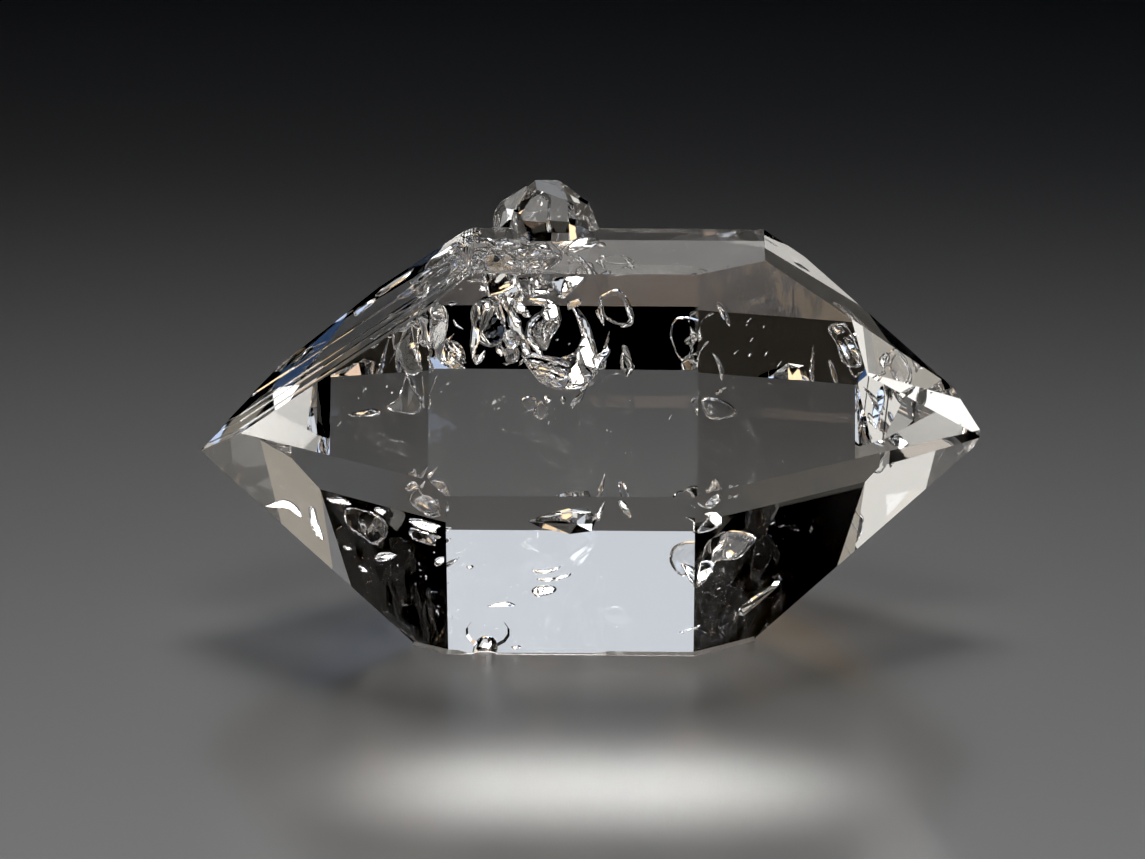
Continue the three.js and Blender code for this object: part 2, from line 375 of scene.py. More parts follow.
         outline=[(-0.1, 0.3), (0.05, 0.4), (0.1, 0), (0.1, -0.4), (-0.05, -0.1)]),
    dict(at=(0.34, 0.36, 9.82), faces=(176, 72), bends=(6, 12), rough=0.5,
         outline=[(-0.15, 0.15), (0.05, 0.35), (0.05, 0.05), (0.15, -0.35), (-0.05, -0.1)]),
    dict(at=(1.24, 0.38, 10.05), faces=(162, 84), bends=(9, 18), rough=0.4,
         outline=[(-0.2, 0.4), (-0.05, 0.2), (0.2, -0.25), (0.1, -0.4), (-0.05, -0.1)]),
    dict(at=(1.21, 0.03, 9.65), faces=(176, 76), bends=(6, 6), rough=0.5,
         outline=[(-0.22, -0.08), (0, 0.02), (0.22, 0.14), (0.16, -0.04), (-0.1, -0.14)]),
    dict(at=(0.85, 0.67, 9.98), faces=(180, 20), bends=(30, 30), rough=0.1,
         outline=[(-0.55, 0.25), (-0.3, 0.5), (0.05, 0.6), (0.35, 0.35), (0.55, -0.1), (0.55, -0.4),
                  (0.2, -0.6), (-0.35, -0.35)]),
    dict(at=(1.29, -0.74, 8.51), faces=(165, 82), bends=(9, 15), rough=0.5,
         outline=[(-0.15, 0.4), (0, 0.2), (0.15, -0.05), (0.15, -0.2), (-0.05, -0.4), (-0.1, -0.25),
                  (0, 0)]),
    dict(at=(1.22, -0.44, 8.43), faces=(180, 20), bends=(30, 30), rough=0.1,
         outline=[(-0.15, 0.35), (0.25, -0.1), (0.05, -0.35), (-0.2, -0.15)]),
    # Behind the edge to the left: a dull disc with white flakes on it, and a pale fan below.
    dict(at=(-5.36, -3.05, 9.93), faces=(-148, 18), bends=(12, 15), rough=1.6, seen="upper left",
         outline=[(-0.8, 0.7), (-0.25, 0.9), (0.25, 0.75), (0.25, 0.4), (0.35, -0.3), (0.55, -0.75),
                  (0.1, -0.9), (-0.35, -0.6), (-0.65, -0.1), (-0.8, 0.4)]),
    dict(at=(-5.59, -2.51, 10.36), faces=(-75, 74), bends=(12, 9), rough=0.4, seen="left end",
         outline=[(-0.7, 0.1), (-0.3, 0.25), (0.2, 0.45), (0.2, 0.35), (0.05, -0.1)]),
    dict(at=(-5.02, -3.25, 10.58), faces=(-112, 75), bends=(12, 15), rough=0.6, seen="upper left",
         outline=[(-0.3, 0.4), (-0.1, 0.5), (0.15, 0.35), (0.15, -0.05), (0.3, -0.4), (0.1, -0.5),
                  (-0.15, -0.35), (-0.1, 0)]),
    dict(at=(-5.36, -3.35, 10.1), faces=(-110, 75), bends=(6, 6), rough=0.3, seen="upper left",
         outline=[(-0.16, 0.08), (0.02, 0.14), (0.16, 0.02), (0.02, -0.14), (-0.14, -0.08)]),
    dict(at=(-4.89, -4.35, 8.87), faces=(-105, 70), bends=(12, 27), rough=1.6, seen="upper left",
         outline=[(-0.25, 0.4), (-0.2, 0.45), (-0.1, 0), (-0.1, -0.45), (0, -0.45)]),
    dict(at=(-5.45, -3.96, 8.67), faces=(-150, 24), bends=(15, 15), rough=0.8, seen="upper left",
         outline=[(-0.2, 0.65), (0.15, 0.2), (0.5, -0.15), (0.5, -0.5), (0.35, -0.65),
                  (-0.3, -0.65), (-0.8, -0.45), (-0.45, -0.2), (-0.3, 0.2)]),
    dict(at=(-6.59, -2.07, 9.67), faces=(-75, 74), bends=(5, 5), rough=0.8, seen="left end",
         outline=[(-0.6, 0.3), (-0.1, 0.1), (0.1, 0.35), (0, -0.05)]),
    dict(at=(-6.03, -2.34, 10.11), faces=(-112, 74), bends=(5, 5), rough=0.8, seen="upper left",
         outline=[(-0.14, 0.04), (0.14, 0.02), (-0.06, -0.06)]),
]

air_film = air_in_quartz("air_film_in_quartz")
add_cracks("shoulder_cracks", SHOULDER_CRACKS, 0, "upper front")

# Flakes close under the top face and the upper left end face, where the same breaks run out.
# They are air films too, and shine where they turn the light of the room up to the eye.
TOP_CRACKS = [
    # Flakes close under the top face.
    dict(at=(-0.24, 1.16, 11.96), faces=(2, 84), bends=(18, 18), rough=0.5,
         outline=[(-0.5, -0.3), (-0.25, 0.5), (0.15, 0.8), (0.5, 0.6), (0.5, 0.05), (0.25, -0.35),
                  (-0.25, -0.8)]),
    dict(at=(-0.52, 0.26, 12.04), faces=(0, 85), bends=(9, 9), rough=0.4,
         outline=[(-0.25, 0.05), (-0.05, 0.25), (0.25, 0.05), (0, -0.25)]),
    dict(at=(-3.65, -1.26, 12.19), faces=(8, 83), bends=(9, 9), rough=0.2,
         outline=[(-0.2, 0), (-0.15, 0.55), (0, 0.65), (0.15, 0.45), (0.2, -0.2), (0.1, -0.65),
                  (-0.1, -0.55)]),
    dict(at=(-2.86, -1.26, 11.88), faces=(-150, 70), bends=(9, 9), rough=1.8,
         outline=[(-0.55, 0.65), (-0.05, 1.05), (0.35, 0.65), (0.55, -0.6), (0, -1.05),
                  (-0.45, -0.95)]),
    dict(at=(-2.85, 1.58, 11.96), faces=(10, 80), bends=(6, 6), rough=0.8,
         outline=[(-0.2, 0.1), (0.1, 0.35), (0.2, -0.1), (-0.1, -0.35)]),
    dict(at=(-1.97, 0.14, 11.88), faces=(-40, 82), bends=(8, 8), rough=1.4,
         outline=[(-0.5, 0.2), (-0.25, 0.55), (0.1, 0.35), (0.5, -0.1), (0.25, -0.55),
                  (-0.2, -0.45)]),
    dict(at=(-1.25, -1.36, 11.88), faces=(100, 35), bends=(9, 9), rough=0.6,
         outline=[(-0.35, 0.1), (-0.1, 0.55), (0.35, 0.75), (0.15, -0.1), (-0.15, -0.75)]),
    dict(at=(-1.59, 0.85, 11.96), faces=(2, 84), bends=(6, 6), rough=0.5,
         outline=[(-0.25, 0.15), (0, 0.4), (0.25, -0.05), (0, -0.4)]),
    dict(at=(-3.2, 1.02, 12.04), faces=(90, 60), bends=(6, 6), rough=1.0,
         outline=[(-0.2, 0.15), (0, 0.5), (0.2, -0.15), (-0.05, -0.5)]),
    dict(at=(-2.42, -1.45, 11.96), faces=(20, 84), bends=(6, 6), rough=0.6,
         outline=[(-0.3, 0.1), (0, 0.45), (0.3, 0.1), (0.05, -0.4)]),
    dict(at=(-1.78, -1.25, 11.65), faces=(-70, 35), bends=(6, 6), rough=0.6,
         outline=[(-0.25, 0.45), (0.05, 0.35), (0.25, -0.25), (-0.1, -0.5)]),
    dict(at=(-3.53, 1.5, 12.11), faces=(0, 80), bends=(6, 6), rough=1.2,
         outline=[(-0.25, 0.15), (0, 0.4), (0.25, 0.05), (-0.05, -0.4)]),
    dict(at=(-1.09, 2.05, 11.96), faces=(-90, 30), bends=(6, 6), rough=1.0,
         outline=[(-0.3, 0.2), (0.05, 0.45), (0.3, 0), (-0.05, -0.45)]),
    dict(at=(0.36, 1.04, 12.04), faces=(5, 83), bends=(6, 6), rough=0.6,
         outline=[(-0.15, 0.2), (0.05, 0.35), (0.15, -0.1), (-0.05, -0.35)]),
    # Bright lines and flakes under the upper left end face.
    dict(at=(-4.54, 2.14, 11.48), faces=(-74, 76), bends=(15, 18), rough=0.8, seen="left end",
         outline=[(-0.55, -0.5), (-0.85, 0.2), (-0.3, 0.45), (-0.1, 0.75), (0.75, 0.35),
                  (0.8, -0.3), (0.45, -0.75)]),
    dict(at=(-4.31, 0.67, 11.76), faces=(-70, 72), bends=(6, 6), rough=0.6, seen="left end",
         outline=[(-0.45, 0.1), (-0.25, 0.25), (0.4, 0), (0.45, -0.35)]),
    dict(at=(-4.62, 1.5, 11.42), faces=(-80, 75), bends=(6, 6), rough=0.8, seen="left end",
         outline=[(-0.45, 0.05), (-0.3, 0.3), (0.25, 0.1), (0.3, -0.3)]),
    dict(at=(-4.1, 1.77, 11.93), faces=(-60, 75), bends=(6, 6), rough=0.6, seen="left end",
         outline=[(-0.6, 0.25), (-0.4, 0.35), (0.4, -0.05), (0.3, -0.35)]),
    dict(at=(-7.16, 3.2, 9.52), faces=(-72, 75), bends=(18, 15), rough=0.6, seen="left end",
         outline=[(-0.6, -0.05), (-0.45, 0.3), (0.05, 0.45), (0.5, 0.1), (0.25, -0.2),
                  (-0.05, -0.45)]),
    dict(at=(-6.09, 3.78, 10.06), faces=(-70, 66), bends=(12, 9), rough=1.8, seen="left end",
         outline=[(-0.7, -0.4), (-0.45, 0), (0.1, 0.35), (0.6, 0.5), (0.75, 0.05), (0.3, -0.35),
                  (-0.15, -0.65)]),
    dict(at=(-5.12, 1.8, 10.93), faces=(-60, 65), bends=(9, 9), rough=1.6, seen="left end",
         outline=[(-0.6, -0.2), (-0.15, 0.15), (0.35, 0.45), (0.55, -0.2), (0.3, -0.7)]),
    dict(at=(-5.42, 1.23, 10.59), faces=(-60, 68), bends=(9, 9), rough=1.6, seen="left end",
         outline=[(-0.5, -0.4), (-0.05, 0), (0.5, 0.4), (0.8, -0.15), (0.4, -0.7)]),
    dict(at=(-3.72, 2.21, 12.23), faces=(-80, 76), bends=(6, 6), rough=1.0, seen="left end",
         outline=[(-0.7, 0.2), (-0.4, 0.4), (-0.05, 0.3), (0.4, -0.35)]),
]

add_cracks("top_cracks", TOP_CRACKS, 200, "top")

# Splinters: the many small films of the same breaks, most of them close under the top face and
# the shoulder. Each is an angular flake of air with straight sides, almost flat.
SPLINTER_GROUPS = [
    dict(count=26, centre=(-2.6, 0.3, 11.85), spread=(1.4, 1.5, 0.35), facing=(0, 75), size=0.34, seed=11),
    dict(count=10, centre=(-3.6, -0.6, 11.6), spread=(0.3, 1.6, 0.5), facing=(-150, 70), size=0.3, seed=12),
    dict(count=18, centre=(-1.9, 0.6, 10.6), spread=(1.5, 0.5, 0.5), facing=(180, 72), size=0.42, seed=13),
    dict(count=16, centre=(-1.4, -0.2, 8.8), spread=(1.3, 0.6, 0.7), facing=(180, 72), size=0.26, seed=14),
    dict(count=9, centre=(-4.6, 0.4, 10.7), spread=(0.5, 0.7, 0.5), facing=(-120, 70), size=0.34, seed=15),
]
SPLINTER_SCATTER = 18
SPLINTER_SLOPES = (40, 88)
SPLINTER_BEND = 9


def shard_outline(draw, width):
    """Four or five corners round the middle, longer one way than the other."""
    corners = draw.choice((4, 5))
    stretch = draw.uniform(0.45, 1)
    turn = draw.uniform(0, 2 * math.pi)
    outline = []
    for corner in range(corners):
        angle = 2 * math.pi * (corner + draw.uniform(-0.25, 0.25)) / corners
        x, y = width / 2 * math.cos(angle), width / 2 * stretch * math.sin(angle)
        across = x * math.cos(turn) - y * math.sin(turn)
        outline.append((across, x * math.sin(turn) + y * math.cos(turn)))
    return outline


def splinters():
    mesh = bmesh.new()
    for group in SPLINTER_GROUPS:
        draw = random.Random(group["seed"])
        for seed in range(group["count"]):
            centre = [c + s * draw.uniform(-1, 1) for c, s in zip(group["centre"], group["spread"])]
            faces = [draw.gauss(angle, SPLINTER_SCATTER) for angle in group["facing"]]
            faces[1] = min(max(faces[1], SPLINTER_SLOPES[0]), SPLINTER_SLOPES[1])
            outline = shard_outline(draw, group["size"] * draw.uniform(0.5, 1.5))
            bend = SPLINTER_BEND * draw.uniform(0.5, 2)
            add_film(mesh, centre, outline, faces, (bend, bend), "top", 0.3, seed, straight=True)
    return finish_hollow("splinters", mesh)


splinters()

# Cracks on the right: two thin discs high up, a knot of flakes at the front edge, white flakes
# and a grey plate low down, and a patchy one far back near the tip.
RIGHT_CRACKS = [
    # Two thin discs high up, near the front edge, and a white lens in the upper one.
    dict(at=(3.91, -2.02, 10.83), faces=(112, 76), bends=(12, 18), rough=0.4,
         outline=[(-0.2, 0.4), (0, 0.3), (0.2, -0.1), (0.2, -0.4), (0, -0.2), (-0.2, 0.15)]),
    dict(at=(3.83, -3.39, 9.5), faces=(100, 70), bends=(12, 18), rough=0.5,
         outline=[(-0.15, 0.45), (0.1, 0.2), (0.2, -0.2), (0.1, -0.45), (0, 0)]),
    # The ringed knot lower down, with a white dash on it.
    dict(at=(3.96, -3.71, 8.75), faces=(116, 75), bends=(6, 6), rough=0.4,
         outline=[(-0.22, -0.02), (0, 0.1), (0.22, 0.12), (0.02, -0.04), (-0.18, -0.12)]),
    dict(at=(3.89, -3.95, 8.22), faces=(130, 35), bends=(6, 6), rough=1.8,
         outline=[(-0.65, 0.3), (-0.15, 0.35), (0.4, 0.15), (0.65, -0.15), (0.1, -0.35),
                  (-0.5, -0.25)]),
    dict(at=(3.61, -4.39, 8.37), faces=(110, -20), bends=(6, 6), rough=1.4,
         outline=[(-0.22, 0.2), (0.1, 0.1), (0.22, -0.2), (-0.12, -0.2)]),
    # A rough column along the front edge.
    dict(at=(3.37, -2.89, 10.69), faces=(150, 84), bends=(6, 15), rough=2.2, seen="upper front",
         outline=[(-0.15, 0.4), (0.1, 0.5), (-0.2, 0.1), (0.1, -0.4), (-0.1, -0.5)]),
    dict(at=(3.39, -3.57, 9.9), faces=(176, 72), bends=(6, 12), rough=2.2, seen="upper front",
         outline=[(-0.1, 0.4), (0.05, 0.45), (-0.2, -0.05), (0.05, -0.45), (-0.15, -0.15)]),
    # The patchy one far back, near the tip.
    dict(at=(7.67, 1.44, 8.86), faces=(150, 20), bends=(9, 12), rough=2.0,
         outline=[(-0.55, 0.65), (0, 0.75), (0.3, 0.5), (0.5, 0), (0.55, -0.65), (0.15, -0.75),
                  (-0.2, -0.55), (-0.35, 0), (-0.55, 0.35)]),
    dict(at=(7.49, 1.34, 9.43), faces=(118, 74), bends=(5, 5), rough=1.0,
         outline=[(-0.24, 0.08), (0.12, 0.14), (0.24, -0.08), (-0.08, -0.14)]),
    dict(at=(7.99, 1.28, 8.77), faces=(124, 70), bends=(5, 6), rough=1.6,
         outline=[(-0.25, 0.5), (0, 0.35), (0.2, -0.05), (0.25, -0.5), (0, -0.25), (-0.2, 0.15)]),
    dict(at=(7.65, 1.24, 8.79), faces=(100, 64), bends=(5, 6), rough=1.6,
         outline=[(-0.2, 0.3), (0.1, 0.1), (0.2, -0.3), (-0.05, -0.15)]),
    # White flakes and a grey plate low down behind the edge.
    dict(at=(3.56, -5.59, 6.06), faces=(130, 56), bends=(7, 7), rough=1.6, seen="lower right",
         outline=[(-0.1, -0.25), (-0.1, -0.1), (0.3, 0.15), (0.5, -0.15), (0.25, -0.35),
                  (-0.2, -0.25), (-0.45, 0)]),
    dict(at=(4.39, -4.87, 6.12), faces=(140, 20), bends=(6, 6), rough=1.2, seen="lower right",
         outline=[(-0.22, -0.22), (0.08, -0.16), (0.24, -0.08), (0.08, -0.26), (-0.18, -0.1)]),
    dict(at=(3.5, -4.91, 5.21), faces=(126, 57), bends=(24, 24), rough=0.4, seen="lower right",
         outline=[(-0.1, 0.15), (-0.25, 0.35), (0.25, 0.3), (0.55, 0), (0.55, -0.3), (0.1, -0.4),
                  (-0.4, -0.3)]),
    dict(at=(3.92, -2.88, 3.84), faces=(-160, 25), bends=(18, 18), rough=0.8, seen="lower right",
         outline=[(-0.9, 0.65), (-0.35, 0.85), (0.35, 0.7), (1.05, 0.3), (0.85, -0.05), (0.4, -0.4),
                  (-0.4, -0.3), (-0.85, -0.6), (-1.1, 0)]),
    dict(at=(4.25, -3.49, 3.71), faces=(118, 57), bends=(6, 6), rough=0.3, seen="lower right",
         outline=[(-0.2, 0.14), (0.02, 0.16), (0.22, -0.04), (0.02, -0.18), (-0.2, -0.04)]),
    dict(at=(3.5, -3.88, 3.2), faces=(132, 50), bends=(5, 9), rough=2.0, seen="lower right",
         outline=[(-0.4, 0.45), (-0.1, 0.5), (0.3, 0.25), (0.1, -0.25), (-0.3, -0.4)]),
]

add_cracks("right_cracks", RIGHT_CRACKS, 50, "upper right")

# Cracks on the left: a large ringed one that reaches close to the front lower edge, wavy veils
# under it, and dull flakes further out towards the left tip.
LEFT_CRACKS = [
    # The ringed one that reaches close to the ridge, with a pale bar over it.
    dict(at=(-5.2, -5.4, 6.42), faces=(-135, 46), bends=(18, 12), rough=0.3,
         outline=[(-0.45, -0.25), (-0.05, 0.1), (0.25, -0.1), (0.45, 0.25), (0.1, -0.1),
                  (-0.3, -0.35)]),
    dict(at=(-4.79, -5.51, 5.95), faces=(-140, 14), bends=(9, 9), rough=1.6,
         outline=[(-0.8, -0.15), (-0.35, 0.35), (-0.2, 0.15), (0.1, -0.05), (0.4, 0.1), (0.4, -0.3),
                  (0.35, -0.55), (-0.1, -0.7), (-0.65, -0.45)]),
    dict(at=(-4.87, -5.44, 5.74), faces=(-152, 36), bends=(5, 5), rough=1.4,
         outline=[(-0.55, 0), (-0.05, 0.35), (0.4, 0.25), (0.55, -0.1), (0, -0.4), (-0.45, -0.25)]),
    # White and wavy veils under it.
    dict(at=(-4.76, -4.8, 4.9), faces=(-131, 47), bends=(27, 12), rough=0.6,
         outline=[(-0.75, 0.1), (-0.2, 0.2), (0.5, 0.15), (0.35, 0), (0.3, -0.1), (0.2, -0.2),
                  (-0.4, -0.2), (-0.7, -0.1)]),
    dict(at=(-4.73, -4.34, 4.48), faces=(-120, 24), bends=(9, 6), rough=1.8,
         outline=[(-0.7, 0.2), (-0.15, 0.15), (0.5, 0.15), (0.25, -0.1), (0.2, -0.3), (-0.45, -0.3),
                  (-0.8, -0.15)]),
    dict(at=(-4.42, -4.36, 3.6), faces=(-132, 47), bends=(6, 6), rough=0.2,
         outline=[(-0.22, -0.04), (-0.02, 0.16), (0.26, 0.24), (0.14, -0.02), (-0.18, -0.22)]),
    dict(at=(-7.78, -2.36, 4.98), faces=(-131, 48), bends=(18, 9), rough=0.4,
         outline=[(-0.5, 0), (-0.1, 0.15), (0.35, 0.15), (0.5, 0), (0.15, -0.1), (-0.35, -0.15)]),
    dict(at=(-6.37, -3.53, 5.01), faces=(-132, 47), bends=(6, 6), rough=0.3,
         outline=[(-0.25, 0.05), (0.05, 0.15), (0.25, 0.05), (0.05, -0.15), (-0.2, -0.1)]),
    dict(at=(-6.82, -2.32, 4.26), faces=(-124, 22), bends=(9, 9), rough=2.2,
         outline=[(-0.7, 0.55), (-0.05, 0.65), (0.6, 0.6), (0.9, 0.3), (0.75, -0.2), (0.25, -0.65),
                  (-0.2, -0.5), (-0.65, -0.25), (-0.85, 0.1)]),
    dict(at=(-6.88, -2.2, 3.95), faces=(-134, 46), bends=(9, 5), rough=1.4,
         outline=[(-0.5, 0.3), (-0.15, 0.2), (0.3, -0.1), (0.5, -0.3), (0.05, -0.25), (-0.4, 0)]),
    dict(at=(-6.23, -2.51, 3.24), faces=(-131, 48), bends=(5, 5), rough=1.2,
         outline=[(-0.45, -0.1), (-0.2, 0.1), (0.1, 0.2), (0.5, 0.25), (0.3, 0), (-0.1, -0.2),
                  (-0.35, -0.25)]),
    dict(at=(-6.98, -1.4, 2.5), faces=(-132, 47), bends=(5, 5), rough=0.6,
         outline=[(-0.2, 0.06), (0.02, 0.12), (0.2, -0.02), (0.02, -0.12)]),
    dict(at=(-7.48, -1.34, 3.19), faces=(-132, 47), bends=(5, 5), rough=0.6,
         outline=[(-0.18, 0.04), (0.12, 0.1), (0.18, 0), (-0.08, -0.1)]),
    # Two dull smudges far back in the upper part.
    dict(at=(-6.58, -1.74, 7.32), faces=(-112, 64), bends=(5, 5), rough=2.2, seen="upper left",
         outline=[(-0.65, -0.05), (-0.15, 0.05), (0.4, 0.15), (0.65, 0.05), (0.35, -0.1),
                  (-0.25, -0.15)]),
]

add_cracks("left_cracks", LEFT_CRACKS, 90, "lower left")

# Flakes close under the lower front face of the left tip, where small breaks healed over.
TIP_CRACKS = [
    dict(at=(-9.62, 0.06, 4.12), faces=(-134, 46), bends=(15, 12), rough=0.5,
         outline=[(-0.8, -0.1), (-0.25, 0.25), (0.25, 0.4), (0.65, 0.2), (0.75, -0.15),
                  (0.5, -0.15), (0.15, 0), (-0.35, -0.1)]),
    dict(at=(-8.37, -0.33, 3.89), faces=(-132, 47), bends=(15, 18), rough=1.8,
         outline=[(-0.2, 0.55), (0.05, 0.6), (0.1, 0.05), (0.2, -0.55), (-0.05, -0.6),
                  (-0.25, -0.1)]),
]

add_cracks("tip_cracks", TIP_CRACKS, 150, "lower left")

# Faint veils in the middle: old breaks that have almost closed, of which only a few flakes
# of air are left, and short streaks in the low front part.
VEILS = [
    # Faint marks in the middle of the upper front face.
    dict(at=(-1.9, -2.25, 7.66), faces=(150, 22), bends=(6, 6), rough=2.0, seen="upper front",
         outline=[(-0.25, 0.1), (0, 0.25), (0.25, 0.15), (0.25, -0.15), (-0.05, -0.25)]),
    dict(at=(-1.51, -2.36, 7.47), faces=(-165, 24), bends=(6, 6), rough=2.2, seen="upper front",
         outline=[(-0.05, 0.3), (0.15, 0.2), (0.25, -0.1), (0, -0.3), (-0.25, -0.1)]),
    dict(at=(-1.28, -2.27, 7.82), faces=(172, 66), bends=(5, 5), rough=1.4, seen="upper front",
         outline=[(-0.12, 0.14), (0.12, -0.02), (-0.04, -0.14)]),
    dict(at=(-0.81, -2.65, 7.94), faces=(178, 74), bends=(5, 5), rough=0.6, seen="upper front",
         outline=[(-0.1, 0.06), (0, 0.14), (0.1, 0), (0, -0.14)]),
    # Bars of the next hollow, beside the large one.
    dict(at=(0.41, -5.35, 5.76), faces=(174, 56), bends=(5, 12), rough=0.8,
         outline=[(-0.15, -0.15), (0.05, 0.25), (0.15, 0.4), (0.1, 0.05), (0, -0.35),
                  (-0.1, -0.4)]),
    dict(at=(1.18, -5.99, 5.8), faces=(180, 54), bends=(12, 15), rough=0.2,
         outline=[(-0.2, 0.3), (-0.05, 0.35), (0.1, 0.15), (0.2, -0.2), (0.2, -0.35), (0, -0.2)]),
    # A white grain with fine lines above it, and short streaks.
    dict(at=(-1.39, -3.72, 2.58), faces=(180, 54), bends=(24, 24), rough=0.1,
         outline=[(-0.4, 0), (-0.2, 0.2), (0.15, 0.25), (0.4, 0.1), (0.3, -0.1), (0.05, -0.2),
                  (-0.25, -0.25)]),
    dict(at=(-0.84, -3.95, 3.15), faces=(178, 55), bends=(18, 6), rough=0.4,
         outline=[(-0.3, -0.1), (-0.05, 0.05), (0.3, 0.15), (0.25, 0), (-0.1, -0.15)]),
    dict(at=(-1.29, -3.89, 3.04), faces=(178, 55), bends=(18, 6), rough=0.4,
         outline=[(-0.35, 0), (0.05, 0.1), (0.35, 0.05), (0.05, -0.1)]),
    dict(at=(-1.31, -3.9, 3.43), faces=(-170, 57), bends=(15, 6), rough=0.8,
         outline=[(-0.45, 0), (-0.05, 0), (0.45, 0.15), (0.2, -0.1), (-0.25, -0.15)]),
    dict(at=(-3.75, -4.44, 3.47), faces=(180, 54), bends=(9, 6), rough=0.2,
         outline=[(-0.12, 0.06), (0.04, 0.1), (0.12, 0.02), (-0.04, -0.1)]),
    dict(at=(-2.76, -3.5, 2.03), faces=(178, 54), bends=(12, 5), rough=1.0,
         outline=[(-0.45, -0.1), (-0.15, 0.05), (0.2, 0.1), (0.45, -0.05), (0.05, -0.1)]),
    dict(at=(-2.3, -3.2, 0.26), faces=(178, 54), bends=(9, 6), rough=0.4,
         outline=[(-0.16, 0.02), (0.04, 0.1), (0.16, 0.02), (-0.04, -0.1)]),
    dict(at=(3.03, -3.38, 0.93), faces=(120, 10), bends=(5, 5), rough=0.5,
         outline=[(-0.08, 0), (0.08, 0.08), (0.04, -0.08)]),
    dict(at=(3.27, -3.44, 1.04), faces=(120, 10), bends=(5, 5), rough=0.5,
         outline=[(-0.12, -0.02), (0.1, 0.1), (0.12, 0.02), (-0.06, -0.1)]),
]

add_cracks("veils", VEILS, 120, "lower front")

# Negative crystals: hollows bounded by quartz faces, so each has the shape of a small crystal.
# One lies in the middle of the front, and a long thin one slants up near the right end.
CORNERS = 6
FACE_UNEVENNESS = 0.16
# The two end points lie off the axis, as parts of the girth.
START_SHIFT = (0.1, 0)
END_SHIFT = (-0.1, 0.05)
NEGATIVE_CRYSTALS = [
    dict(at=(-0.8, -5.7, 5.3), along=(87, 2), turn=14, girth=(1.3, 1.0),
         lengths=(0.45, 1.0, 0.5, 0.22), swell=(0.55, 1.0, 0.9), seed=3),
    dict(at=(5.15, -1.35, 1.65), along=(63, 32), turn=20, girth=(0.5, 0.4),
         lengths=(0.16, 0.5, 0.9, 0.25), swell=(0.9, 1.0, 0.8), seed=5),
]


def add_negative_crystal(mesh, at, along, turn, girth, lengths, swell, seed):
    """A hollow six-sided prism in two steps with two pointed ends, its faces looking inwards."""
    draw = random.Random(seed)
    place = facing(*along, turn)
    centre = Vector(at)
    reach = sum(lengths)

    def corner(across, up, level):
        return mesh.verts.new((centre + place @ Vector((across, up, level - reach / 2))) * MM)

    level = 0
    start = corner(START_SHIFT[0] * girth[0], START_SHIFT[1] * girth[1], level)
    rings = []
    for length, size in zip(lengths, swell):
        level += length
        ring = []
        for number in range(CORNERS):
            angle = 2 * math.pi * number / CORNERS
            wide = size * (1 + FACE_UNEVENNESS * draw.uniform(-1, 1)) / 2
            shift = FACE_UNEVENNESS * length * draw.uniform(-1, 1)
            across, up = girth[0] * wide * math.cos(angle), girth[1] * wide * math.sin(angle)
            ring.append(corner(across, up, level + shift))
        rings.append(ring)
    end = corner(END_SHIFT[0] * girth[0], END_SHIFT[1] * girth[1], reach)
    for number in range(CORNERS):
        after = (number + 1) % CORNERS
        mesh.faces.new((rings[0][after], start, rings[0][number]))
        for low, high in zip(rings, rings[1:]):
            mesh.faces.new((low[number], high[number], high[after], low[after]))
        mesh.faces.new((rings[-1][number], end, rings[-1][after]))


def negative_crystals():
    mesh = bmesh.new()
    for hollow in NEGATIVE_CRYSTALS:
        add_negative_crystal(mesh, **hollow)
    return finish_hollow("negative_crystals", mesh, smooth=False)


negative_crystals()

# Specks: pin-point hollows, each smaller than a tenth of a millimetre, that glint like dust.
# They lie thickest low in the left part, under the wavy veil.
SPECK_GROUPS = [
    dict(count=20, centre=(-5.1, -2.9, 2.6), spread=(1.0, 0.8, 1.5), facing=(-132, 47), size=0.08, seed=21),
    dict(count=9, centre=(4.6, -0.6, 9.4), spread=(1.0, 0.5, 0.8), facing=(150, 64), size=0.08, seed=22),
    dict(count=7, centre=(4.6, -2.2, 3.4), spread=(1.2, 1.0, 1.2), facing=(120, 57), size=0.08, seed=23),
    dict(count=6, centre=(-6.4, -1.4, 7.7), spread=(0.9, 0.5, 0.9), facing=(-130, 60), size=0.08, seed=24),
    dict(count=5, centre=(0.2, -3.4, 7.4), spread=(2.6, 0.8, 0.6), facing=(178, 66), size=0.07, seed=25),
]
SPECK_SCATTER = 7
SPECK_BENDS = (1, 1)


def specks():
    mesh = bmesh.new()
    for group in SPECK_GROUPS:
        draw = random.Random(group["seed"])
        for seed in range(group["count"]):
            centre = [c + s * draw.uniform(-1, 1) for c, s in zip(group["centre"], group["spread"])]
            faces = [draw.gauss(angle, SPECK_SCATTER) for angle in group["facing"]]
            outline = shard_outline(draw, group["size"] * draw.uniform(0.5, 1.4))
            add_film(mesh, centre, outline, faces, SPECK_BENDS, "lower left", 0, seed)
    return finish_hollow("specks", mesh)


specks()

# Painted highlight: a thin near-white wedge along the foot of the lower front edges that the crystal
# stands on, in place of the bright line of light there. The line is thin in the middle and stops at the
# chip.
HIGHLIGHT_WEDGE_STEP = 0.07
HIGHLIGHT_WEDGE_GAP = 0.004
HIGHLIGHT_WEDGE_UNEVENNESS = 0.12
HIGHLIGHT_WEDGE_TOE = 0.84
HIGHLIGHT_WEDGE_WELD = 0.002
HIGHLIGHT_WEDGE_SEED = 17
# Each white line by its stations: x, y and height.
HIGHLIGHT_LINES = [
    [(-5.59, -2.46, 0.10), (-5.00, -2.99, 0.13), (-4.48, -3.46, 0.15), (-4.20, -3.46, 0.14),
     (-3.90, -3.46, 0.05)],
    [(-2.90, -3.46, 0.03), (0.20, -3.46, 0.04), (0.60, -3.46, 0.12), (3.42, -3.46, 0.12),
     (4.40, -2.57, 0.12), (5.36, -1.70, 0.13)],
]


